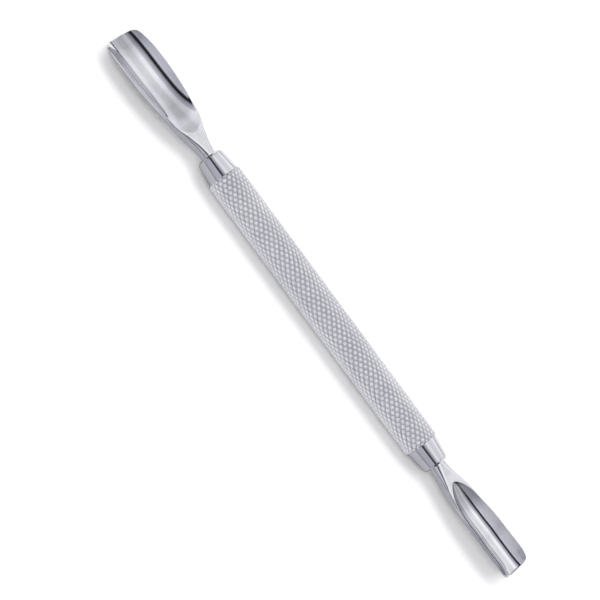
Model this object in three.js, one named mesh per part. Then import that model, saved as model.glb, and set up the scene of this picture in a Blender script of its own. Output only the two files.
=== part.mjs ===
// Double-ended cuticle pusher: a knurled hollow handle with a turned, tapering
// collar pressed into each end, and a scoop-shaped pusher set into each collar.
//
// Frame: millimetres. X runs along the tool, the small pusher points to +X and
// the large pusher to -X. Both scoops open towards +Z. The origin is on the
// surface the tool lies on, under the middle of its length.
import * as THREE from "three";
import { mergeVertices } from "three/addons/utils/BufferGeometryUtils.js";

// ---- driving dimensions (mm) ----------------------------------------------
const OVERALL_LENGTH = 132.0;
const LARGE_REACH = 30.0; // end face of the collar to the large tip
const SMALL_REACH = 26.4; // end face of the collar to the small tip
const HANDLE_LENGTH = OVERALL_LENGTH - LARGE_REACH - SMALL_REACH; // 75.6
const COLLAR_LENGTH = 5.0; // visible smooth taper at each end
const HANDLE_RADIUS = 3.7; // over the crests of the knurl
const HANDLE_BORE_RADIUS = 2.5;
const HANDLE_EDGE = 0.12; // chamfer at the ends of the knurled band
const COLLAR_ROOT_RADIUS = 3.38; // taper where it meets the knurled tube
const COLLAR_FACE_RADIUS = 2.76; // taper at the end face
const COLLAR_EDGE = 0.3; // rounding of the end face
const SPIGOT_RADIUS = 2.45;
const SPIGOT_LENGTH = 7.0;
const SOCKET_DEPTH = 9.0; // blind socket for the tang, from the end face
const TANG_CLEARANCE = 0.08;
const TANG_LENGTH = 8.6;
const FACETS = 32; // flats on the round pieces; one flat faces straight down
const AXIS_HEIGHT = HANDLE_RADIUS; // tool axis above the resting surface

// Pusher tables: [u, value] with u the distance from the collar's end face.
// half: outer half width. inner: half width of the channel at its rim.
// shoulder: size of the outer shoulder, a round one on the neck (round = 1) and
// a slanted one along the blade (round = 0). top: height of the top face or rim
// above the tool's axis. floor: height of the channel's lowest line near the
// tip. slope: steepness of the channel's wall at the rim, degrees. side: height
// of the upright outer side. belly: height of the underside's lowest line.
// start: where the channel begins. wall: steepest slope of its walls, which run
// straight up from there. Beyond tipFrom the channel keeps the radius
// tipRadius, and the rim slides down it as the tip's corners are rounded off.
const LARGE = {
  reach: 30,
  shank: 1.53,
  start: 5.5,
  tipFrom: 20.8,
  tipRadius: 5.33,
  half: [
    [0, 1.53], [0.7, 1.57], [2.65, 1.79], [4.24, 2.12], [5.83, 2.5], [6.63, 2.77],
    [7.63, 3.06], [8.612, 3.3], [10.652, 3.59], [12.692, 3.85], [14.732, 4.08],
    [16.772, 4.26], [18.8, 4.38], [20.8, 4.42], [23.8, 4.4], [26.7, 4.23],
    [27.8, 4.13], [28.7, 3.97], [29.05, 3.84], [29.3, 3.65], [29.5, 3.44],
    [29.65, 3.13], [29.78, 2.77], [29.88, 2.2], [29.95, 1.6], [30, 1],
  ],
  inner: [
    [5.5, 0], [5.6, 0.55], [5.9, 1.15], [6.7, 2.05], [8.612, 2.85], [10.652, 3.25],
    [12.692, 3.53], [14.732, 3.75], [16.772, 3.91], [18.8, 4.01], [20.8, 4.05],
    [23.8, 4.03], [26.7, 3.88], [27.8, 3.79], [28.7, 3.65], [29.05, 3.53],
    [29.3, 3.36], [29.5, 3.16], [29.65, 2.88], [29.78, 2.54], [29.88, 2],
    [29.95, 1.42], [30, 0.85],
  ],
  shoulder: [
    [0, 1.53], [0.7, 1.5], [2.65, 1.25], [4.24, 0.95], [5.83, 0.65], [6.63, 0.48],
    [7.63, 0.34], [8.612, 0.3], [10.652, 0.31], [20.8, 0.36], [26.7, 0.34],
    [28.7, 0.3], [29.5, 0.26], [30, 0.14],
  ],
  round: [
    [0, 1], [6.5, 1], [8, 0.6], [10.04, 0.12], [12.08, 0.08], [30, 0.08],
  ],
  top: [
    [0, 1.53], [0.7, 1.6], [2.65, 1.7], [4.64, 1.76], [5.83, 1.84], [7.63, 1.83],
    [8.612, 1.84], [10.652, 1.915], [13.712, 1.942], [16.772, 1.939], [20.8, 1.88],
  ],
  floor: [
    [16.772, 0.18], [20.8, 0.01], [23.8, -0.09], [26.7, -0.34], [28.7, -0.7],
    [30, -1.05],
  ],
  slope: [
    [5.5, 5], [5.9, 7], [6.7, 10], [8.6, 15.5], [10.6, 28], [11.6, 33], [12.6, 37.5],
    [14.6, 43.2], [16.6, 47], [18.6, 48.8], [20.8, 49.5],
  ],
  side: [
    [0, 0], [2.65, 0.55], [4.64, 1.04], [5.83, 1.3], [6.63, 1.25], [8.612, 0.6],
    [10.652, 0.75], [14.732, 1.12], [20.8, 1.24], [26.7, 1.03], [28.4, 0.55],
    [29.5, 0.28], [30, 0.06],
  ],
  belly: [
    [0, -1.53], [2.65, -1.62], [4.64, -1.7], [6.6, -1.6], [8.612, -1.38],
    [10.652, -1.22], [15.14, -1.1], [20.8, -1], [24.2, -1], [26.7, -1.08],
    [28.7, -1.2], [30, -1.26],
  ],
  wall: 57,
};
const SMALL = {
  reach: 26.4,
  shank: 1.83,
  start: 4.7,
  tipFrom: 19.1,
  tipRadius: 3.31,
  half: [
    [0, 1.83], [0.74, 1.85], [1.73, 1.89], [3.33, 2.05], [4.72, 2.26], [5.91, 2.46],
    [6.71, 2.56], [8.728, 2.787], [10.808, 3.048], [12.888, 3.239], [14.968, 3.34],
    [17.048, 3.38], [19.1, 3.41], [23, 3.45], [24.7, 3.34], [25.4, 3.2], [25.72, 3],
    [25.9, 2.78], [26.04, 2.51], [26.13, 2.15], [26.23, 1.53], [26.32, 1.1],
    [26.4, 0.66],
  ],
  inner: [
    [4.7, 0], [4.8, 0.3], [5.12, 0.68], [5.91, 1.32], [6.71, 1.76], [7.7, 2.17],
    [8.728, 2.482], [10.808, 2.767], [12.888, 2.986], [14.968, 3.08], [17.048, 3.12],
    [19.1, 3.15], [23, 3.18], [24.7, 3.1], [25.4, 2.97], [25.72, 2.78], [25.9, 2.57],
    [26.04, 2.32], [26.13, 1.98], [26.23, 1.38], [26.32, 0.97], [26.4, 0.55],
  ],
  shoulder: [
    [0, 1.83], [0.74, 1.75], [1.73, 1.5], [3.33, 1.1], [4.72, 0.8], [5.91, 0.52],
    [6.71, 0.38], [8.728, 0.29], [12.888, 0.28], [19.1, 0.29], [23, 0.3], [25.7, 0.25],
    [26.4, 0.14],
  ],
  round: [
    [0, 1], [5.5, 1], [7, 0.6], [9.04, 0.12], [11.12, 0.08], [26.4, 0.08],
  ],
  top: [
    [0, 1.83], [0.74, 1.78], [1.73, 1.73], [3.33, 1.65], [4.72, 1.66], [6.71, 1.66],
    [8.728, 1.69], [10.808, 1.64], [12.888, 1.8], [14.968, 2], [17.048, 2.13],
    [19.1, 2.24],
  ],
  floor: [
    [14.968, -0.25], [19.1, -0.21], [23, -0.12], [26.4, -0.1],
  ],
  slope: [
    [4.7, 42], [5.12, 50], [5.91, 57], [6.71, 62], [7.7, 65.5], [8.728, 67.5],
    [10.808, 69], [12.888, 71.3], [14.968, 72.4], [17.048, 72.5], [19.1, 72.5],
  ],
  side: [
    [0, 0], [1.73, 0.24], [3.33, 0.73], [4.72, 1.2], [5.91, 1.4], [6.71, 1.5],
    [8.728, 1.4], [10.808, 0.7], [12.888, 0.22], [15.28, 0.1], [19.1, 0.06],
    [26.4, 0.04],
  ],
  belly: [
    [0, -1.83], [3.33, -1.95], [6.7, -1.8], [8.728, -1.7], [10.808, -1.45],
    [12.888, -1.25], [15.28, -1.05], [19.1, -0.86], [23, -0.8], [25.4, -0.72],
    [26.4, -0.6],
  ],
  wall: 58,
};

// ---- shape functions --------------------------------------------------------
// Monotone cubic interpolation, so that a table never overshoots its entries.
function curve(table) {
  const n = table.length;
  const h = [], d = [], m = new Array(n).fill(0);
  for (let i = 0; i < n - 1; i++) {
    h.push(table[i + 1][0] - table[i][0]);
    d.push((table[i + 1][1] - table[i][1]) / h[i]);
  }
  m[0] = d[0];
  m[n - 1] = d[n - 2];
  for (let i = 1; i < n - 1; i++) {
    if (d[i - 1] * d[i] <= 0) continue;
    const a = 2 * h[i] + h[i - 1], b = h[i] + 2 * h[i - 1];
    m[i] = (a + b) / (a / d[i - 1] + b / d[i]);
  }
  return (x) => {
    if (x <= table[0][0]) return table[0][1];
    if (x >= table[n - 1][0]) return table[n - 1][1];
    let i = 0;
    while (x > table[i + 1][0]) i++;
    const t = (x - table[i][0]) / h[i], t2 = t * t, t3 = t2 * t;
    return (
      (2 * t3 - 3 * t2 + 1) * table[i][1] + (t3 - 2 * t2 + t) * h[i] * m[i] +
      (-2 * t3 + 3 * t2) * table[i + 1][1] + (t3 - t2) * h[i] * m[i + 1]
    );
  };
}
const smooth = (x) => {
  const t = Math.min(1, Math.max(0, x));
  return t * t * (3 - 2 * t);
};

const CHANNEL_STEPS = 7; // per half of the channel
const SHOULDER_STEPS = 3;
const BELLY_STEPS = 7; // per half of the underside

// One closed cross-section of a pusher in (y, z), z from the tool's axis. It
// starts in the middle of the channel, runs to the +y rim, down the side, round
// underneath to the middle of the belly, and back up the -y side.
function pusherSection(spec, f, u) {
  const half = f.half(u);
  const c = f.shoulder(u);
  let top = f.top(u);
  let inner = 0.2, depth = 0, radius = 1, angle = 0;
  if (u > spec.start) {
    inner = Math.max(0.02, f.inner(u));
    const w = smooth((u - spec.tipFrom + 4) / 4);
    const steep = (f.slope(Math.min(u, spec.tipFrom)) * Math.PI) / 180;
    const tipAngle = Math.asin(Math.min(0.9999, inner / spec.tipRadius));
    angle = u < spec.tipFrom ? steep * (1 - w) + tipAngle * w : tipAngle;
    radius = inner / Math.sin(angle);
    depth = radius * (1 - Math.cos(angle));
    top = top * (1 - w) + (f.floor(u) + depth) * w;
  }
  const roundness = f.round(u);
  const flatEnd = Math.max(half - c, depth > 0 ? inner + 0.02 : 0);
  // A point of the shoulder, t from 0 at the top to 1 at the side.
  const shoulderAt = (t) => {
    const a = (t * Math.PI) / 2;
    const arc = [flatEnd + (half - flatEnd) * Math.sin(a), top - c + c * Math.cos(a)];
    const line = [flatEnd + (half - flatEnd) * t, top - c * t];
    return [0, 1].map((k) => arc[k] * roundness + line[k] * (1 - roundness));
  };
  const right = [];
  if (depth > 0) {
    // round bottom, then a straight wall where the rim would be too steep
    const wall = (spec.wall * Math.PI) / 180;
    const bend = Math.min(angle, wall);
    let r = radius, run = 0;
    if (angle > wall) {
      r = (inner * Math.sin(wall) - depth * Math.cos(wall)) / (1 - Math.cos(wall));
      run = (depth * Math.sin(wall) - inner * (1 - Math.cos(wall))) / (1 - Math.cos(wall));
    }
    for (let i = 0; i <= CHANNEL_STEPS; i++) {
      const d = ((r * bend + run) * i) / CHANNEL_STEPS;
      const a = Math.min(bend, d / r), rest = Math.max(0, d - r * bend);
      right.push([
        r * Math.sin(a) + rest * Math.cos(bend),
        top - depth + r * (1 - Math.cos(a)) + rest * Math.sin(bend),
      ]);
    }
    for (let i = 0; i <= SHOULDER_STEPS; i++) right.push(shoulderAt(i / SHOULDER_STEPS));
  } else {
    // No channel here: the same number of points along the flat and the shoulder.
    const steps = CHANNEL_STEPS + SHOULDER_STEPS + 1;
    const total = flatEnd + 1.3 * c;
    for (let i = 0; i <= steps; i++) {
      const d = (total * i) / steps;
      right.push(d < flatEnd ? [d, top] : shoulderAt((d - flatEnd) / (total - flatEnd)));
    }
  }
  const sideEnd = top - c - f.side(u);
  const bottom = Math.min(f.belly(u), sideEnd - 0.04);
  for (let i = 0; i <= BELLY_STEPS; i++) {
    const a = (Math.PI / 2) * (i / BELLY_STEPS);
    if (i === 0) right.push([half, sideEnd - 0.004]);
    else right.push([half * Math.cos(a), sideEnd - 0.004 - (sideEnd - 0.004 - bottom) * Math.sin(a)]);
  }
  right[right.length - 1][0] = 0;
  const left = right.slice(1, -1).reverse().map(([y, z]) => [-y, z]);
  return [...right, ...left];
}

// A pusher as one closed skin: tang, round shank, neck and scoop.
function pusherGeometry(spec) {
  const f = {};
  for (const [key, value] of Object.entries(spec))
    if (Array.isArray(value)) f[key] = curve(value);
  const L = spec.reach, s = spec.start;
  const stations = [
    0, 1.3, 2.6, 3.8, s - 0.05, s + 0.1, s + 0.4, s + 1.0, s + 2.0, s + 3.2,
    s + 5.0, s + 7.0, s + 9.5, s + 12.0, s + 14.8, s + 17.6, s + 20.2,
  ].filter((u) => u < L - 3.6);
  stations.push(L - 3.2, L - 2.0, L - 1.3, L - 0.9, L - 0.6, L - 0.4, L - 0.25, L - 0.13, L - 0.05, L);
  const tang = spec.shank - 0.03;
  const tangSection = (r) => {
    const at = (v) => () => v;
    return pusherSection(
      { start: 1e9, tipFrom: 1e9 },
      { half: at(r), shoulder: at(r), top: at(r), round: at(1), side: at(0), belly: at(-r) },
      0,
    );
  };
  const rows = [
    { u: -TANG_LENGTH, pts: tangSection(tang - 0.25) },
    { u: -TANG_LENGTH + 0.3, pts: tangSection(tang) },
    { u: -0.03, pts: tangSection(tang) },
  ];
  for (const u of stations) rows.push({ u, pts: pusherSection(spec, f, u) });
  const n = rows[0].pts.length;
  const position = [];
  for (const row of rows)
    for (const [y, z] of row.pts) position.push(row.u, y, z);
  const index = [];
  for (let r = 0; r < rows.length - 1; r++)
    for (let i = 0; i < n; i++) {
      const a = r * n + i, b = r * n + ((i + 1) % n), c = a + n, e = b + n;
      index.push(a, e, b, a, c, e);
    }
  // End caps: the outline of each end in its own plane.
  for (const [r, flip] of [[0, false], [rows.length - 1, true]]) {
    const loop = rows[r].pts.map(([y, z]) => new THREE.Vector2(y, z));
    for (const tri of THREE.ShapeUtils.triangulateShape(loop, [])) {
      const [a, b, c] = tri.map((k) => r * n + k);
      const area = THREE.ShapeUtils.area([loop[tri[0]], loop[tri[1]], loop[tri[2]]]);
      // With y and z as the plane's axes a positive area faces +X.
      if (area > 0 === flip) index.push(a, b, c);
      else index.push(a, c, b);
    }
  }
  const g = new THREE.BufferGeometry();
  g.setAttribute("position", new THREE.Float32BufferAttribute(position, 3));
  g.setIndex(index);
  return mergeVertices(g, 1e-4);
}


// A turned piece about X from a profile of [x, flat radius] points that starts
// and ends on the axis or closes on itself. Radii are measured to the flats.
function turned(profile) {
  const k = 1 / Math.cos(Math.PI / FACETS);
  const pts = profile.map(([x, r]) => new THREE.Vector2(r * k, x));
  const g = new THREE.LatheGeometry(pts, FACETS, Math.PI / FACETS, 2 * Math.PI);
  g.rotateZ(-Math.PI / 2);
  g.deleteAttribute("normal");
  g.deleteAttribute("uv");
  return g;
}

// ---- materials ----------------------------------------------------------------
const knurledSteel = new THREE.MeshStandardMaterial({ color: 0xb4b6ba, roughness: 0.34, metalness: 1.0 });
const collarSteel = new THREE.MeshStandardMaterial({ color: 0xc6c7cb, roughness: 0.12, metalness: 1.0 });
const pusherSteel = new THREE.MeshStandardMaterial({ color: 0xc2c3c9, roughness: 0.1, metalness: 1.0 });

// ---- assembly -------------------------------------------------------------------
const LARGE_FACE_X = -OVERALL_LENGTH / 2 + LARGE_REACH; // -36.2
const SMALL_FACE_X = OVERALL_LENGTH / 2 - SMALL_REACH; // +40.0
const TUBE_LENGTH = HANDLE_LENGTH - 2 * COLLAR_LENGTH; // 66.2

const tool = new THREE.Group();
tool.position.set(0, 0, AXIS_HEIGHT);

function add(parent, name, geometry, material) {
  const mesh = new THREE.Mesh(geometry, material);
  mesh.name = name;
  parent.add(mesh);
  return mesh;
}

// Knurled tube, open right through.
const tube = add(
  tool,
  "knurled_handle",
  turned([
    [0, HANDLE_BORE_RADIUS],
    [0, HANDLE_RADIUS - HANDLE_EDGE],
    [HANDLE_EDGE, HANDLE_RADIUS],
    [TUBE_LENGTH - HANDLE_EDGE, HANDLE_RADIUS],
    [TUBE_LENGTH, HANDLE_RADIUS - HANDLE_EDGE],
    [TUBE_LENGTH, HANDLE_BORE_RADIUS],
    [0, HANDLE_BORE_RADIUS],
  ]),
  knurledSteel,
);
tube.position.x = LARGE_FACE_X + COLLAR_LENGTH;

// End collar in its own frame: x = 0 on the end face, the spigot towards -x.
function collarGeometry(socketRadius) {
  const edge = [];
  for (let i = 0; i <= 3; i++) {
    const a = (i / 3) * (Math.PI / 2);
    edge.push([
      -COLLAR_EDGE * (1 - Math.sin(a)),
      COLLAR_FACE_RADIUS - COLLAR_EDGE * (1 - Math.cos(a)),
    ]);
  }
  return turned([
    [-COLLAR_LENGTH - SPIGOT_LENGTH, 0],
    [-COLLAR_LENGTH - SPIGOT_LENGTH, SPIGOT_RADIUS - 0.25],
    [-COLLAR_LENGTH - SPIGOT_LENGTH + 0.25, SPIGOT_RADIUS],
    [-COLLAR_LENGTH, SPIGOT_RADIUS],
    [-COLLAR_LENGTH, COLLAR_ROOT_RADIUS],
    ...edge,
    [0, socketRadius],
    [-SOCKET_DEPTH, socketRadius],
    [-SOCKET_DEPTH, 0],
  ]);
}

const smallEnd = new THREE.Group();
smallEnd.position.x = SMALL_FACE_X;
tool.add(smallEnd);
add(smallEnd, "small_end_collar", collarGeometry(SMALL.shank + TANG_CLEARANCE), collarSteel);
add(smallEnd, "small_pusher", pusherGeometry(SMALL), pusherSteel);

const largeEnd = new THREE.Group();
largeEnd.position.x = LARGE_FACE_X;
largeEnd.rotation.z = Math.PI;
tool.add(largeEnd);
add(largeEnd, "large_end_collar", collarGeometry(LARGE.shank + TANG_CLEARANCE), collarSteel);
add(largeEnd, "large_pusher", pusherGeometry(LARGE), pusherSteel);

export default tool;
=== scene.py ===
import math

import bpy
import numpy as np
from mathutils import Matrix, Vector


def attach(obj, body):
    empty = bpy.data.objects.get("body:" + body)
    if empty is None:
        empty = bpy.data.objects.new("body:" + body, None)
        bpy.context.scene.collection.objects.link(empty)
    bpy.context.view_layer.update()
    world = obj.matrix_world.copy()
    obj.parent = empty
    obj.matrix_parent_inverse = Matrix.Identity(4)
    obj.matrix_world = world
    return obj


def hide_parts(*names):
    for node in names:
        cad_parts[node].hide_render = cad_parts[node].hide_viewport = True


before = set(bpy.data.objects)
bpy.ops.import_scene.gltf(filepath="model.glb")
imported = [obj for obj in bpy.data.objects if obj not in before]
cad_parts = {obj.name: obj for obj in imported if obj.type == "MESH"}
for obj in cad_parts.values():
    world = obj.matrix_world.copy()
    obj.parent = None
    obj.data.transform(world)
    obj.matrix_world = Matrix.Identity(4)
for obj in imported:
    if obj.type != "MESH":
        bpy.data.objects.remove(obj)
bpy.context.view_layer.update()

# ---------------------------------------------------------------------------
# Dimensions shared with the CAD model, in millimetres. They are turned into
# metres when a mesh is made.
# ---------------------------------------------------------------------------
MM = 0.001
OVERALL = 132.0
LARGE_REACH, SMALL_REACH = 30.0, 26.4
LARGE_FACE = -OVERALL / 2 + LARGE_REACH
SMALL_FACE = OVERALL / 2 - SMALL_REACH
COLLAR = 5.0
R_HANDLE = 3.7
AXIS_Z = 3.7

LARGE = dict(
    reach=30,
    shank=1.53,
    start=5.5,
    tipFrom=20.8,
    tipRadius=5.33,
    half=[
        (0, 1.53), (0.7, 1.57), (2.65, 1.79), (4.24, 2.12), (5.83, 2.5), (6.63, 2.77),
        (7.63, 3.06), (8.612, 3.3), (10.652, 3.59), (12.692, 3.85), (14.732, 4.08),
        (16.772, 4.26), (18.8, 4.38), (20.8, 4.42), (23.8, 4.4), (26.7, 4.23),
        (27.8, 4.13), (28.7, 3.97), (29.05, 3.84), (29.3, 3.65), (29.5, 3.44),
        (29.65, 3.13), (29.78, 2.77), (29.88, 2.2), (29.95, 1.6), (30, 1)],
    inner=[
        (5.5, 0), (5.6, 0.55), (5.9, 1.15), (6.7, 2.05), (8.612, 2.85), (10.652, 3.25),
        (12.692, 3.53), (14.732, 3.75), (16.772, 3.91), (18.8, 4.01), (20.8, 4.05),
        (23.8, 4.03), (26.7, 3.88), (27.8, 3.79), (28.7, 3.65), (29.05, 3.53),
        (29.3, 3.36), (29.5, 3.16), (29.65, 2.88), (29.78, 2.54), (29.88, 2),
        (29.95, 1.42), (30, 0.85)],
    shoulder=[
        (0, 1.53), (0.7, 1.5), (2.65, 1.25), (4.24, 0.95), (5.83, 0.65), (6.63, 0.48),
        (7.63, 0.34), (8.612, 0.3), (10.652, 0.31), (20.8, 0.36), (26.7, 0.34),
        (28.7, 0.3), (29.5, 0.26), (30, 0.14)],
    round=[
        (0, 1), (6.5, 1), (8, 0.6), (10.04, 0.12), (12.08, 0.08), (30, 0.08)],
    top=[
        (0, 1.53), (0.7, 1.6), (2.65, 1.7), (4.64, 1.76), (5.83, 1.84), (7.63, 1.83),
        (8.612, 1.84), (10.652, 1.915), (13.712, 1.942), (16.772, 1.939), (20.8, 1.88)],
    floor=[
        (16.772, 0.18), (20.8, 0.01), (23.8, -0.09), (26.7, -0.34), (28.7, -0.7),
        (30, -1.05)],
    slope=[
        (5.5, 5), (5.9, 7), (6.7, 10), (8.6, 15.5), (10.6, 28), (11.6, 33),
        (12.6, 37.5), (14.6, 43.2), (16.6, 47), (18.6, 48.8), (20.8, 49.5)],
    side=[
        (0, 0), (2.65, 0.55), (4.64, 1.04), (5.83, 1.3), (6.63, 1.25), (8.612, 0.6),
        (10.652, 0.75), (14.732, 1.12), (20.8, 1.24), (26.7, 1.03), (28.4, 0.55),
        (29.5, 0.28), (30, 0.06)],
    belly=[
        (0, -1.53), (2.65, -1.62), (4.64, -1.7), (6.6, -1.6), (8.612, -1.38),
        (10.652, -1.22), (15.14, -1.1), (20.8, -1), (24.2, -1), (26.7, -1.08),
        (28.7, -1.2), (30, -1.26)],
    wall=57,
    bevel=0.12,
)
SMALL = dict(
    reach=26.4,
    shank=1.83,
    start=4.7,
    tipFrom=19.1,
    tipRadius=3.31,
    half=[
        (0, 1.83), (0.74, 1.85), (1.73, 1.89), (3.33, 2.05), (4.72, 2.26),
        (5.91, 2.46), (6.71, 2.56), (8.728, 2.787), (10.808, 3.048), (12.888, 3.239),
        (14.968, 3.34), (17.048, 3.38), (19.1, 3.41), (23, 3.45), (24.7, 3.34),
        (25.4, 3.2), (25.72, 3), (25.9, 2.78), (26.04, 2.51), (26.13, 2.15),
        (26.23, 1.53), (26.32, 1.1), (26.4, 0.66)],
    inner=[
        (4.7, 0), (4.8, 0.3), (5.12, 0.68), (5.91, 1.32), (6.71, 1.76), (7.7, 2.17),
        (8.728, 2.482), (10.808, 2.767), (12.888, 2.986), (14.968, 3.08),
        (17.048, 3.12), (19.1, 3.15), (23, 3.18), (24.7, 3.1), (25.4, 2.97),
        (25.72, 2.78), (25.9, 2.57), (26.04, 2.32), (26.13, 1.98), (26.23, 1.38),
        (26.32, 0.97), (26.4, 0.55)],
    shoulder=[
        (0, 1.83), (0.74, 1.75), (1.73, 1.5), (3.33, 1.1), (4.72, 0.8), (5.91, 0.52),
        (6.71, 0.38), (8.728, 0.29), (12.888, 0.28), (19.1, 0.29), (23, 0.3),
        (25.7, 0.25), (26.4, 0.14)],
    round=[
        (0, 1), (5.5, 1), (7, 0.6), (9.04, 0.12), (11.12, 0.08), (26.4, 0.08)],
    top=[
        (0, 1.83), (0.74, 1.78), (1.73, 1.73), (3.33, 1.65), (4.72, 1.66),
        (6.71, 1.66), (8.728, 1.69), (10.808, 1.64), (12.888, 1.8), (14.968, 2),
        (17.048, 2.13), (19.1, 2.24)],
    floor=[
        (14.968, -0.25), (19.1, -0.21), (23, -0.12), (26.4, -0.1)],
    slope=[
        (4.7, 42), (5.12, 50), (5.91, 57), (6.71, 62), (7.7, 65.5), (8.728, 67.5),
        (10.808, 69), (12.888, 71.3), (14.968, 72.4), (17.048, 72.5), (19.1, 72.5)],
    side=[
        (0, 0), (1.73, 0.24), (3.33, 0.73), (4.72, 1.2), (5.91, 1.4), (6.71, 1.5),
        (8.728, 1.4), (10.808, 0.7), (12.888, 0.22), (15.28, 0.1), (19.1, 0.06),
        (26.4, 0.04)],
    belly=[
        (0, -1.83), (3.33, -1.95), (6.7, -1.8), (8.728, -1.7), (10.808, -1.45),
        (12.888, -1.25), (15.28, -1.05), (19.1, -0.86), (23, -0.8), (25.4, -0.72),
        (26.4, -0.6)],
    wall=58,
    bevel=0.36,
)

scene = bpy.context.scene


# ---------------------------------------------------------------------------
# Mesh helpers
# ---------------------------------------------------------------------------
def monotone(table, x):
    """Monotone cubic through the table, on an array of x."""
    X = np.array([p[0] for p in table], float)
    Y = np.array([p[1] for p in table], float)
    h = np.diff(X)
    d = np.diff(Y) / h
    m = np.zeros(len(X))
    m[0], m[-1] = d[0], d[-1]
    for i in range(1, len(X) - 1):
        if d[i - 1] * d[i] > 0:
            a, b = 2 * h[i] + h[i - 1], h[i] + 2 * h[i - 1]
            m[i] = (a + b) / (a / d[i - 1] + b / d[i])
    x = np.clip(np.asarray(x, float), X[0], X[-1])
    i = np.clip(np.searchsorted(X, x, side="right") - 1, 0, len(h) - 1)
    t = (x - X[i]) / h[i]
    t2, t3 = t * t, t * t * t
    return ((2 * t3 - 3 * t2 + 1) * Y[i] + (t3 - 2 * t2 + t) * h[i] * m[i]
            + (-2 * t3 + 3 * t2) * Y[i + 1] + (t3 - t2) * h[i] * m[i + 1])


def smoothed(table, x, reach, sigma=0.8, keep=2.2):
    """The same curve with its corners blended out, as grinding leaves it. The last
    few millimetres before the tip stay as they are."""
    g = np.arange(-6.0, reach + 6.0, 0.05)
    lo, hi = table[0], table[-1]
    v = monotone(table, g)
    v = np.where(g < lo[0], lo[1], v)
    k = np.arange(-4 * sigma, 4 * sigma + 1e-9, 0.05)
    w = np.exp(-0.5 * (k / sigma) ** 2)
    w /= w.sum()
    s = np.convolve(np.pad(v, len(k) // 2, mode="edge"), w, mode="valid")[: len(g)]
    exact = monotone(table, x)
    near = np.clip((np.asarray(x) - (reach - 2 * keep)) / keep, 0, 1)
    near = near * near * (3 - 2 * near)
    return np.interp(x, g, s) * (1 - near) + exact * near


def step(x):
    t = np.clip(x, 0, 1)
    return t * t * (3 - 2 * t)


def make_mesh(name, verts, faces, smooth=True):
    me = bpy.data.meshes.new(name)
    me.from_pydata([tuple(v) for v in verts], [], faces)
    me.validate(clean_customdata=False)
    me.update()
    if smooth:
        me.polygons.foreach_set("use_smooth", [True] * len(me.polygons))
    ob = bpy.data.objects.new(name, me)
    scene.collection.objects.link(ob)
    return ob


def grid_faces(rows, cols, wrap=True):
    out = []
    for r in range(rows - 1):
        for c in range(cols if wrap else cols - 1):
            a = r * cols + c
            b = r * cols + (c + 1) % cols
            out.append((a, b, b + cols, a + cols))
    return out


def turned(name, profile, segments=160):
    """A turned closed piece about the tool's axis. profile: (x, r) in mm."""
    verts, ring = [], []
    ang = np.arange(segments) * 2 * math.pi / segments
    for x, r in profile:
        if r < 1e-6:
            ring.append(("p", len(verts)))
            verts.append((x * MM, 0.0, AXIS_Z * MM))
        else:
            ring.append(("r", len(verts)))
            for a in ang:
                verts.append((x * MM, r * math.cos(a) * MM, (AXIS_Z + r * math.sin(a)) * MM))
    faces = []
    pairs = list(zip(ring[:-1], ring[1:]))
    if ring[0][0] == "r":
        pairs.append((ring[-1], ring[0]))
    for (ka, a), (kb, b) in pairs:
        for i in range(segments):
            j = (i + 1) % segments
            if ka == "r" and kb == "r":
                faces.append((a + i, a + j, b + j, b + i))
            elif ka == "r":
                faces.append((a + i, a + j, b))
            elif kb == "r":
                faces.append((a, b + j, b + i))
    return make_mesh(name, verts, faces)


def outward(ob):
    import bmesh
    bm = bmesh.new()
    bm.from_mesh(ob.data)
    bmesh.ops.recalc_face_normals(bm, faces=bm.faces)
    bm.to_mesh(ob.data)
    bm.free()
    ob.data.update()


# ---------------------------------------------------------------------------
# Pushers: one closed skin each, lofted through sections
# ---------------------------------------------------------------------------
N_CH, N_FLAT, N_SHOULDER, N_SIDE, N_BELLY = 30, 6, 14, 6, 32  # per half section


def rounded(points, radius, steps=4):
    """Replaces the corners of an open polyline (first and last point kept) by
    small curves of the given size."""
    out = [points[0]]
    for k in range(1, len(points) - 1):
        p0, p1, p2 = points[k - 1], points[k], points[k + 1]
        a, b = p0 - p1, p2 - p1
        la, lb = np.hypot(*a), np.hypot(*b)
        c = min(radius, 0.45 * la, 0.45 * lb)
        q0, q2 = p1 + a * (c / max(la, 1e-9)), p1 + b * (c / max(lb, 1e-9))
        for t in np.linspace(0, 1, steps + 1):
            out.append((1 - t) ** 2 * q0 + 2 * t * (1 - t) * p1 + t * t * q2)
    out.append(points[-1])
    return np.array(out)


def resample(points, n):
    """n + 1 points evenly along a polyline."""
    d = np.concatenate([[0], np.cumsum(np.hypot(*np.diff(points, axis=0).T))])
    s = np.linspace(0, d[-1], n + 1)
    return np.stack([np.interp(s, d, points[:, 0]), np.interp(s, d, points[:, 1])], 1)


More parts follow.
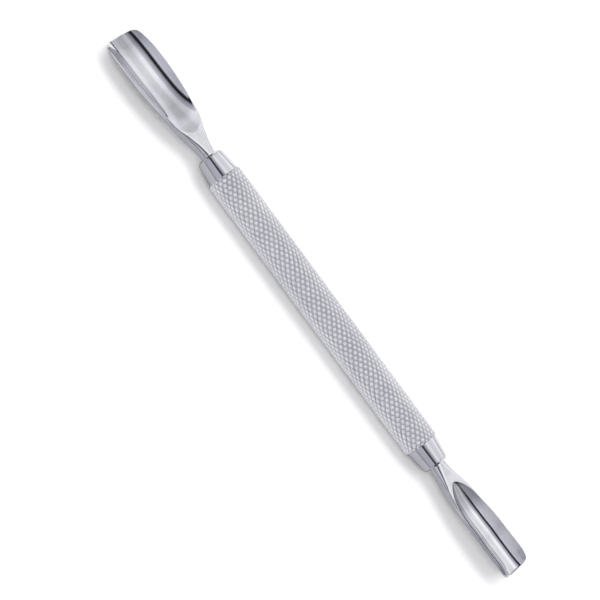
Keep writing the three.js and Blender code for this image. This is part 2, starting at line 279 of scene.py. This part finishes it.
def pusher_section(spec, f, k):
    """Section points (y, z from the axis) at station k: from the channel's middle
    over the +y rim, down the side and round underneath, then back up on -y."""
    u, half, c, top = f["u"][k], f["half"][k], f["shoulder"][k], f["top"][k]
    inner, depth, radius, angle = 0.2, 0.0, 1.0, 0.0
    if u > spec["start"]:
        inner = max(0.02, f["inner"][k])
        w = float(step((u - spec["tipFrom"] + 4) / 4))
        tip_angle = math.asin(min(0.9999, inner / spec["tipRadius"]))
        angle = math.radians(f["slope"][k]) * (1 - w) + tip_angle * w
        radius = inner / math.sin(angle)
        depth = radius * (1 - math.cos(angle))
        top = top * (1 - w) + (f["floor"][k] + depth) * w
    flat_end = max(half - c, inner + 0.02 if depth > 0 else 0.0)
    # the channel
    if depth > 0:
        # round bottom, then a straight wall where the rim would be too steep
        wall = math.radians(spec["wall"])
        bend, r, run = min(angle, wall), radius, 0.0
        if angle > wall:
            r = (inner * math.sin(wall) - depth * math.cos(wall)) / (1 - math.cos(wall))
            run = (depth * math.sin(wall) - inner * (1 - math.cos(wall))) / (1 - math.cos(wall))
        d = np.linspace(0, 1, N_CH + 1) * (r * bend + run)
        a, rest = np.minimum(bend, d / r), np.maximum(0, d - r * bend)
        channel = np.stack([r * np.sin(a) + rest * math.cos(bend),
                            top - depth + r * (1 - np.cos(a)) + rest * math.sin(bend)], 1)
    else:
        channel = np.stack([np.linspace(0, min(inner, 0.5 * (flat_end + 0.2)), N_CH + 1), np.full(N_CH + 1, top)], 1)
    # the shoulder, round on the neck, slanted along the blade
    t = np.linspace(0, 1, 25)
    arc = np.stack([flat_end + (half - flat_end) * np.sin(t * math.pi / 2), top - c + c * np.cos(t * math.pi / 2)], 1)
    line = np.stack([flat_end + (half - flat_end) * t, top - c * t], 1)
    r = f["round"][k]
    shoulder = arc * r + line * (1 - r)
    side_end = top - c - f["side"][k] - 0.004
    bottom = min(f["belly"][k], side_end - 0.04)
    ba = np.linspace(0, math.pi / 2, N_BELLY + 1)
    belly = np.stack([half * np.cos(ba), side_end - (side_end - bottom) * np.sin(ba)], 1)
    belly[-1, 0] = 0.0
    if depth > 0:
        # crest, outer shoulder and side, with the corners broken a little
        soft = min(0.07, 0.3 * c)
        pre = channel[-1] * 0.55 + channel[-4] * 0.45 if angle > 0.2 else channel[-2]
        mid = rounded(np.array([pre, channel[-1], shoulder[0], *shoulder[6:-1:6], shoulder[-1], [half, side_end]]), soft)
        j = N_CH - 3
        start = np.concatenate([channel[:j], mid[:1]])
        upper = np.concatenate([resample(start, N_CH), resample(mid, N_FLAT + N_SHOULDER + N_SIDE)[1:]])
    else:
        whole = np.concatenate([[[0.0, top]], [[max(flat_end, 1e-3), top]], shoulder[1:], [[half, side_end]]])
        upper = resample(whole, N_CH + N_FLAT + N_SHOULDER + N_SIDE)
    # the very edge of the tip is ground down a little
    drop = 0.8 * max(0.0, u - spec["reach"] + spec["bevel"])
    if drop > 0:
        floor_z = np.interp(upper[:, 0], belly[::-1, 0], belly[::-1, 1])
        room = np.clip(upper[:, 1] - floor_z - 0.06, 0, None)
        upper[:, 1] -= drop * room / (room + drop + 1e-9)
    right = np.concatenate([upper, belly[1:]])
    left = right[1:-1][::-1] * np.array([-1, 1])
    return np.concatenate([right, left])


def round_section(radius, half_count):
    a = np.linspace(0, math.pi, half_count)
    right = np.stack([radius * np.sin(a), radius * np.cos(a)], 1)
    left = right[1:-1][::-1] * np.array([-1, 1])
    return np.concatenate([right, left])


def pusher(name, spec, face_x, sign):
    L, start = spec["reach"], spec["start"]
    us = list(np.arange(0, start - 0.3, 0.12))
    us += list(start + np.array([-0.25, -0.15, -0.08, -0.03, 0.0, 0.004]))
    us += list(start + np.cumsum([0.015, 0.02, 0.03, 0.04, 0.05, 0.06, 0.07, 0.08, 0.09, 0.1, 0.11]))
    us += list(np.arange(us[-1] + 0.12, L - 3.2, 0.14))
    us += list(L - 3.1 * (1 - np.linspace(0, 1, 60)) ** 1.9)
    us = np.array(sorted(set(np.round(us, 5))))
    f = {"u": us}
    for key in ("half", "shoulder", "round", "top", "side", "belly", "floor", "slope", "inner"):
        f[key] = smoothed(spec[key], us, L, sigma=0.4)
    # the channel's start keeps its own sharper curve
    w0 = step((us - start - 0.3) / 1.6)
    f["inner"] = monotone(spec["inner"], us) * (1 - w0) + f["inner"] * w0
    f["slope"] = monotone(spec["slope"], us) * (1 - w0) + f["slope"] * w0
    half_count = N_CH + N_FLAT + N_SHOULDER + N_SIDE + N_BELLY + 1
    count = 2 * half_count - 2
    n_top = N_CH + N_FLAT + N_SHOULDER + 1
    tang = spec["shank"] - 0.02
    rows, xs = [], []
    for u, r in ((-8.6, tang - 0.25), (-8.3, tang), (-0.02, tang)):
        rows.append(round_section(r, half_count))
        xs.append(u)
    for k, u in enumerate(us):
        blade = pusher_section(spec, f, k)
        blend = float(step(u / 1.0))
        if blend < 1:
            blade = blade * blend + round_section(spec["shank"], half_count) * (1 - blend)
        rows.append(blade)
        xs.append(u)
    P = np.array(rows)
    verts = []
    for u, row in zip(xs, P):
        for y, z in row:
            verts.append(((face_x + sign * u) * MM, sign * y * MM, (AXIS_Z + z) * MM))
    faces = grid_faces(len(P), count)
    # end faces: strips between the top line and the underside
    for row0 in (0, (len(P) - 1) * count):
        right = list(range(half_count))
        left = [0] + [count - i for i in range(1, half_count - 1)] + [half_count - 1]
        pts = P[0 if row0 == 0 else -1]
        for side in (right, left):
            t = side[:n_top]
            b = side[n_top - 1:][::-1]
            i = j = 0
            while i < len(t) - 1 or j < len(b) - 1:
                adv_t = i < len(t) - 1 and (j >= len(b) - 1 or abs(pts[t[i + 1]][0]) <= abs(pts[b[j + 1]][0]))
                if adv_t:
                    tri = (row0 + t[i], row0 + t[i + 1], row0 + b[j])
                    i += 1
                else:
                    tri = (row0 + t[i], row0 + b[j + 1], row0 + b[j])
                    j += 1
                if len(set(tri)) == 3:
                    faces.append(tri)
    ob = make_mesh(name, verts, faces)
    # painted shade: 0 on the channel and the top, 1 on the sides and underneath, where the material darkens the steel
    i = np.arange(count)
    i = np.minimum(i, count - i)
    painted_shade = np.clip((i - (N_CH + N_FLAT + 4)) / 6.0, 0, 1)
    attr = ob.data.attributes.new("painted_shade", "FLOAT", "POINT")
    tone = np.tile(painted_shade, (len(P), 1))
    # on the neck the shoulders belong to the sides too and take the same painted shade
    for r, u in enumerate(xs):
        k = max(0, r - 3)
        fade = 1 - float(step((u - start - 3.0) / 4.0))
        if fade > 0:
            below = (f["top"][k] - P[r][:, 1]) / max(0.1, f["shoulder"][k])
            mask = np.clip((below - 0.22) / 0.3, 0, 1) * fade
            if u > start:
                mask = mask * (i > N_CH)
            tone[r] = np.maximum(tone[r], mask)
    attr.data.foreach_set("value", tone.reshape(-1).astype(np.float32))
    outward(ob)
    return ob


# ---------------------------------------------------------------------------
# Knurled handle: two opposite-handed sets of grooves on a round bar
# ---------------------------------------------------------------------------
STARTS = 22
PERIOD = 1.725  # along the axis, between crests of one row
DEPTH = 0.25


def knurled_handle():
    x0, x1 = LARGE_FACE + COLLAR, SMALL_FACE - COLLAR
    m = 5
    nt = STARTS * 2 * m
    dx = PERIOD / (2 * m)
    nx = int(round((x1 - x0) / dx))
    dx = (x1 - x0) / nx
    xi = np.arange(nx + 1)
    ti = np.arange(nt)
    X, T = np.meshgrid(xi, ti, indexing="ij")
    # groove coordinates: whole numbers are groove bottoms
    p = (T + X) / (2.0 * m)
    q = (T - X) / (2.0 * m)
    # two sets of grooves, one cut a little deeper than the other, by an amount
    # that wanders along the handle; between them rounded, slightly worn crests
    wander = 0.5 + 0.5 * np.sin(X * dx * 0.31 + 1.0) * np.cos(X * dx * 0.13 + T * 2 * math.pi / nt)
    h = np.abs(np.sin(math.pi * p)) ** (0.42 + 0.4 * wander) * np.abs(np.sin(math.pi * q)) ** 0.85
    # small deterministic variation of depth from crest to crest
    cell_p, cell_q = np.floor(p), np.floor(q)
    rnd = np.modf(np.abs(np.sin(cell_p % STARTS * 12.9898 + cell_q % STARTS * 78.233 + np.floor(X / (2 * m)) * 3.17) * 43758.5453))[0]
    r = R_HANDLE - DEPTH * (1 - h) - 0.008 * rnd * h
    x = x0 + X * dx
    # the ends of the band are faced off square with a fine chamfer
    edge = np.minimum(x - x0, x1 - x)
    r = np.minimum(r, R_HANDLE - 0.2 * np.clip(1 - edge / 0.16, 0, 1))
    ang = T * 2 * math.pi / nt + math.pi / 2
    V = np.stack([x, r * np.cos(ang), AXIS_Z + r * np.sin(ang)], -1).reshape(-1, 3) * MM
    verts = [tuple(v) for v in V]
    faces = []
    for i in range(nx):
        for j in range(nt):
            A = i * nt + j
            B = i * nt + (j + 1) % nt
            C, D = A + nt, B + nt
            # split each cell along the groove that is nearer
            pc, qc = (j + i + 1) / (2.0 * m), (j - i) / (2.0 * m)
            dp, dq = abs(pc - round(pc)), abs(qc - round(qc))
            if dp < dq:  # lines of constant p run from B to C
                faces += [(A, B, C), (B, D, C)]
            else:
                faces += [(A, B, D), (A, D, C)]
    # bore and end faces
    bore = 2.5
    rings = []
    for xx, rr in ((x0, 3.0), (x0, bore), (x1, bore), (x1, 3.0)):
        rings.append(len(verts))
        for j in range(nt):
            g = j * 2 * math.pi / nt + math.pi / 2
            verts.append((xx * MM, rr * math.cos(g) * MM, (AXIS_Z + rr * math.sin(g)) * MM))
    order = [0] + rings + [nx * nt]
    for s0, s1 in zip(order[:-1], order[1:]):
        for j in range(nt):
            k = (j + 1) % nt
            faces.append((s0 + j, s1 + j, s1 + k, s0 + k))
    ob = make_mesh("handle_knurl", verts, faces)
    # height of the crests, kept with the mesh for the material: dark valleys are painted shade, light crests are wear
    crest_wear_and_shade = np.zeros(len(verts), dtype=np.float32)
    crest_wear_and_shade[: (nx + 1) * nt] = (h * (0.78 + 0.22 * rnd)).reshape(-1)
    # and painted shade: darker round the bottom half
    co = np.array(verts) / MM
    tilt = np.degrees(np.arctan2(np.abs(co[:, 1]), co[:, 2] - AXIS_Z))
    crest_wear_and_shade *= (1 - 0.65 * np.clip((tilt - 60) / 40, 0, 1)).astype(np.float32)
    attr = ob.data.attributes.new("crest_wear_and_shade", "FLOAT", "POINT")
    attr.data.foreach_set("value", crest_wear_and_shade)
    outward(ob)
    return ob


# ---------------------------------------------------------------------------
# Collars
# ---------------------------------------------------------------------------
def collar(name, face_x, sign, socket):
    root, face, edge, bevel = 3.38, 2.76, 0.05, 0.34
    prof = [(-12.0, 0.0), (-12.0, 2.2), (-11.75, 2.45), (-5.0, 2.45), (-5.0, 3.2), (-5.0, root - 0.06), (-4.94, root)]
    for t in np.linspace(0, 1, 24)[1:]:
        x = -4.94 + t * (4.94 - bevel - edge)
        prof.append((x, root + (face - root) * (x + 5.0) / 5.0))
    # broken edge, then a narrow chamfer down to the end face
    prof += [(-bevel, face + 0.03), (-bevel + edge, face - 0.02), (-0.03, face - bevel + 0.06), (0.0, face - bevel + 0.01)]
    prof += [(0.0, 2.1), (0.0, socket + 0.05), (-0.05, socket), (-9.0, socket), (-9.0, 0.0)]
    prof = [(face_x + sign * x, r) for x, r in prof]
    ob = turned(name, prof)
    # painted shade: 0 on the upper part, 1 round the bottom half, kept with the mesh for the material, which darkens
    # the steel there
    co = np.zeros(len(ob.data.vertices) * 3)
    ob.data.vertices.foreach_get("co", co)
    co = co.reshape(-1, 3) / MM
    tilt = np.degrees(np.arctan2(np.abs(co[:, 1]), co[:, 2] - AXIS_Z))
    painted_shade = np.clip((tilt - 51) / 10, 0, 1).astype(np.float32)
    attr = ob.data.attributes.new("painted_shade", "FLOAT", "POINT")
    attr.data.foreach_set("value", painted_shade)
    outward(ob)
    return ob


# ---------------------------------------------------------------------------
# Materials
# ---------------------------------------------------------------------------
def new_material(name):
    mat = bpy.data.materials.new(name)
    mat.use_nodes = True
    nt = mat.node_tree
    nt.nodes.clear()
    out = nt.nodes.new("ShaderNodeOutputMaterial")
    bs = nt.nodes.new("ShaderNodeBsdfPrincipled")
    nt.links.new(bs.outputs["BSDF"], out.inputs["Surface"])
    return mat, nt, bs


def steel(name, base, rough, rough_var, scratch, scratch_scale=(30, 1400, 1400), blotch=0.0, blotch_scale=120.0,
          edge=1.0, along=None):
    """Polished or satin stainless steel: fine lengthwise polishing marks, a slow
    change of gloss, and a faint wandering of tone."""
    mat, nt, bs = new_material(name)
    N = nt.nodes.new
    link = nt.links.new
    bs.inputs["Metallic"].default_value = 1.0
    bs.inputs["Specular Tint"].default_value = (edge, edge, edge, 1)
    tc = N("ShaderNodeTexCoord")
    mp = N("ShaderNodeMapping")
    mp.inputs["Scale"].default_value = scratch_scale
    link(tc.outputs["Object"], mp.inputs["Vector"])
    fine = N("ShaderNodeTexNoise")
    fine.inputs["Scale"].default_value = 1.0
    fine.inputs["Detail"].default_value = 3.0
    fine.inputs["Roughness"].default_value = 0.6
    link(mp.outputs["Vector"], fine.inputs["Vector"])
    slow = N("ShaderNodeTexNoise")
    slow.inputs["Scale"].default_value = blotch_scale
    slow.inputs["Detail"].default_value = 4.0
    slow.inputs["Roughness"].default_value = 0.55
    link(tc.outputs["Object"], slow.inputs["Vector"])
    # colour
    ramp = N("ShaderNodeValToRGB")
    e0, e1 = ramp.color_ramp.elements
    e0.position, e1.position = 0.3, 0.7
    e0.color = tuple(c * (1 - 0.10) for c in base) + (1,)
    e1.color = tuple(min(1, c * 1.05) for c in base) + (1,)
    link(slow.outputs["Fac"], ramp.inputs["Fac"])
    tone = ramp.outputs["Color"]
    # tone that follows a value kept with the mesh: from v0 to v1; it carries painted shade, and on the knurl wear as
    # well
    if along:
        attribute, p0, v0, p1, v1 = along
        at = N("ShaderNodeAttribute")
        at.attribute_name = attribute
        cr = N("ShaderNodeValToRGB")
        cr.color_ramp.elements[0].position = p0
        cr.color_ramp.elements[0].color = v0 + (1,)
        cr.color_ramp.elements[1].position = p1
        cr.color_ramp.elements[1].color = v1 + (1,)
        link(at.outputs["Fac"], cr.inputs["Fac"])
        mul = N("ShaderNodeVectorMath"); mul.operation = "MULTIPLY"
        link(tone, mul.inputs[0])
        link(cr.outputs["Color"], mul.inputs[1])
        tone = mul.outputs[0]
    link(tone, bs.inputs["Base Color"])
    # roughness
    mix = N("ShaderNodeMath"); mix.operation = "MULTIPLY_ADD"
    link(slow.outputs["Fac"], mix.inputs[0])
    mix.inputs[1].default_value = rough_var
    mix.inputs[2].default_value = rough - 0.5 * rough_var
    add = N("ShaderNodeMath"); add.operation = "MULTIPLY_ADD"
    link(fine.outputs["Fac"], add.inputs[0])
    add.inputs[1].default_value = rough_var
    link(mix.outputs[0], add.inputs[2])
    sub = N("ShaderNodeMath"); sub.operation = "SUBTRACT"
    link(add.outputs[0], sub.inputs[0])
    sub.inputs[1].default_value = 0.5 * rough_var
    link(sub.outputs[0], bs.inputs["Roughness"])
    # polishing marks
    bump = N("ShaderNodeBump")
    bump.inputs["Strength"].default_value = scratch
    bump.inputs["Distance"].default_value = 0.00001
    link(fine.outputs["Fac"], bump.inputs["Height"])
    last = bump
    if blotch > 0:
        b2 = N("ShaderNodeBump")
        b2.inputs["Strength"].default_value = blotch
        b2.inputs["Distance"].default_value = 0.0001
        link(slow.outputs["Fac"], b2.inputs["Height"])
        link(bump.outputs["Normal"], b2.inputs["Normal"])
        last = b2
    link(last.outputs["Normal"], bs.inputs["Normal"])
    return mat


# pusher and collar: the undersides take painted shade from the value kept with the mesh
mat_pusher = steel("pusher_steel", (0.645, 0.65, 0.675), 0.09, 0.04, 0.22, blotch=0.10, blotch_scale=260.0,
                   along=("painted_shade", 0.0, (1.0, 1.0, 1.0), 1.0, (0.52, 0.52, 0.55)))
mat_collar = steel("collar_steel", (0.71, 0.715, 0.74), 0.14, 0.04, 0.25, scratch_scale=(2200, 60, 60), blotch=0.05, edge=0.75,
                   along=("painted_shade", 0.0, (1.0, 1.0, 1.0), 1.0, (0.54, 0.54, 0.57)))
# knurl: valleys and the bottom half darker as painted shade, crests lighter as wear
mat_knurl = steel("knurled_steel", (0.955, 0.955, 0.985), 0.40, 0.06, 0.2, scratch_scale=(900, 900, 900), edge=0.35,
                  along=("crest_wear_and_shade", 0.05, (0.59, 0.59, 0.625), 0.72, (1.0, 1.0, 1.0)))


def finish_piece(ob, mat, node):
    ob.data.materials.clear()
    ob.data.materials.append(mat)
    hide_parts(node)
    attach(ob, "root")


handle = knurled_handle()
finish_piece(handle, mat_knurl, "knurled_handle")
c_large = collar("collar_large", LARGE_FACE, -1, LARGE["shank"] + 0.03)
finish_piece(c_large, mat_collar, "large_end_collar")
c_small = collar("collar_small", SMALL_FACE, 1, SMALL["shank"] + 0.03)
finish_piece(c_small, mat_collar, "small_end_collar")
p_large = pusher("pusher_large", LARGE, LARGE_FACE, -1)
for v in p_large.data.vertices:  # no wider than the CAD piece
    v.co.y *= 0.999
finish_piece(p_large, mat_pusher, "large_pusher")
p_small = pusher("pusher_small", SMALL, SMALL_FACE, 1)
finish_piece(p_small, mat_pusher, "small_pusher")


# ---------------------------------------------------------------------------
# Floor, light and camera
# ---------------------------------------------------------------------------
def floor():
    me = bpy.data.meshes.new("floor")
    s = 3.0
    me.from_pydata([(-s, -s, 0), (s, -s, 0), (s, s, 0), (-s, s, 0)], [], [(0, 1, 2, 3)])
    ob = bpy.data.objects.new("floor", me)
    scene.collection.objects.link(ob)
    mat, nt, bs = new_material("floor_paper")
    bs.inputs["Base Color"].default_value = (0.905, 0.9, 0.885, 1)
    bs.inputs["Roughness"].default_value = 0.9
    bs.inputs["Specular IOR Level"].default_value = 0.0
    me.materials.append(mat)
    return ob


floor()

# Studio surround: panels as soft bands running along X, seen as reflections.
world = bpy.data.worlds.new("studio")
scene.world = world
world.use_nodes = True
wn = world.node_tree
wn.nodes.clear()
W = wn.nodes.new
wl = wn.links.new
tc = W("ShaderNodeTexCoord")
sep = W("ShaderNodeSeparateXYZ")
wl(tc.outputs["Generated"], sep.inputs[0])
neg = W("ShaderNodeMath"); neg.operation = "MULTIPLY"; neg.inputs[1].default_value = -1.0
wl(sep.outputs["Y"], neg.inputs[0])
ang = W("ShaderNodeMath"); ang.operation = "ARCTAN2"
wl(neg.outputs[0], ang.inputs[0])
wl(sep.outputs["Z"], ang.inputs[1])
rng = W("ShaderNodeMapRange")
rng.inputs["From Min"].default_value = -math.pi / 2
rng.inputs["From Max"].default_value = math.pi / 2
wl(ang.outputs[0], rng.inputs["Value"])
ramp = W("ShaderNodeValToRGB")
ramp.color_ramp.interpolation = "EASE"
# angle from straight up, positive towards -Y : (degrees, value)
BANDS = [
    (-90, 0.08), (-84.5, 0.2), (-80, 1.32), (-62, 1.32), (-47, 1.12), (-24, 1.12), (-13, 1.42),
    (0, 1.42), (2.5, 1.15), (5, 0.88), (10, 0.78), (15, 0.66), (18.5, 0.40), (20.5, 0.46),
    (22.5, 0.03), (33, 0.02), (35.5, 0.6), (40, 0.95), (48, 0.80), (70, 0.78), (80, 0.62), (90, 0.66),
]
els = ramp.color_ramp.elements
while len(els) > 1:
    els.remove(els[-1])
for i, (deg, v) in enumerate(BANDS):
    pos = (deg + 90) / 180
    e = els[0] if i == 0 else els.new(pos)
    e.position = pos
    tint = (1.0, 1.0, 1.01) if deg < 3 else (0.96, 0.97, 1.06)
    e.color = (v * tint[0], v * tint[1], v * tint[2], 1)
wl(rng.outputs["Result"], ramp.inputs["Fac"])
bg = W("ShaderNodeBackground")
bg.inputs["Strength"].default_value = 1.0
# the room falls off towards both ends of the tool
absx = W("ShaderNodeMath"); absx.operation = "ABSOLUTE"
wl(sep.outputs["X"], absx.inputs[0])
ends = W("ShaderNodeValToRGB")
E = ends.color_ramp.elements
E[0].position, E[0].color = 0.15, (1, 1, 1, 1)
E[1].position, E[1].color = 0.95, (0.04, 0.04, 0.05, 1)
for x_at, x_val in ((0.28, 0.82), (0.42, 0.58), (0.82, 0.52)):
    mid_e = E.new(x_at)
    mid_e.color = (x_val, x_val, x_val * 1.03, 1)
wl(absx.outputs[0], ends.inputs["Fac"])
room = W("ShaderNodeVectorMath"); room.operation = "MULTIPLY"
wl(ramp.outputs["Color"], room.inputs[0])
wl(ends.outputs["Color"], room.inputs[1])
wl(room.outputs[0], bg.inputs["Color"])
wo = W("ShaderNodeOutputWorld")
wl(bg.outputs[0], wo.inputs["Surface"])


def area(name, loc, target, size, power, color=(1, 1, 1)):
    l = bpy.data.lights.new(name, "AREA")
    l.shape = "RECTANGLE"
    l.size, l.size_y = size
    l.energy = power
    l.color = color
    ob = bpy.data.objects.new(name, l)
    ob.location = loc
    d = Vector(target) - Vector(loc)
    ob.rotation_euler = d.to_track_quat("-Z", "Y").to_euler()
    scene.collection.objects.link(ob)
    return ob


key = area("key_softbox", (0.0, 0.25, 0.80), (0, 0, 0), (1.2, 0.34), 3.3)
key.visible_glossy = False
front = area("front_softbox", (0.0, -0.45, 0.90), (0, 0, 0), (1.0, 0.5), 5.0)
front.visible_glossy = False

# Camera: at the near side of the tool, 62 degrees above the table, turned about
# its own line of sight so that the tool lies along the picture's diagonal.
BETA = math.radians(28.0)
ROLL = math.radians(53.58)
DIST = 0.330
PX = 0.1979 * MM
axis_x = Vector((1, 0, 0))
axis_n = Vector((0, math.cos(BETA), math.sin(BETA)))
back = Vector((0, -math.sin(BETA), math.cos(BETA)))
target = Vector((-2.56 * MM, 0, AXIS_Z * MM)) + axis_n * (-11.6 * PX)
right = math.cos(ROLL) * axis_x + math.sin(ROLL) * axis_n
up = -math.sin(ROLL) * axis_x + math.cos(ROLL) * axis_n
cam_data = bpy.data.cameras.new("camera")
cam = bpy.data.objects.new("camera", cam_data)
scene.collection.objects.link(cam)
scene.camera = cam
m = Matrix((
    (right.x, up.x, back.x, 0), (right.y, up.y, back.y, 0), (right.z, up.z, back.z, 0), (0, 0, 0, 1)))
cam.matrix_world = Matrix.Translation(target + back * DIST) @ m
cam_data.sensor_width = 36.0
cam_data.sensor_fit = "HORIZONTAL"
cam_data.lens = 36.0 * DIST / (600 * PX)
cam_data.clip_start = 0.01
cam_data.clip_end = 20.0

scene.view_settings.view_transform = "Standard"
scene.view_settings.look = "None"
scene.view_settings.exposure = 0.0
scene.view_settings.gamma = 1.0
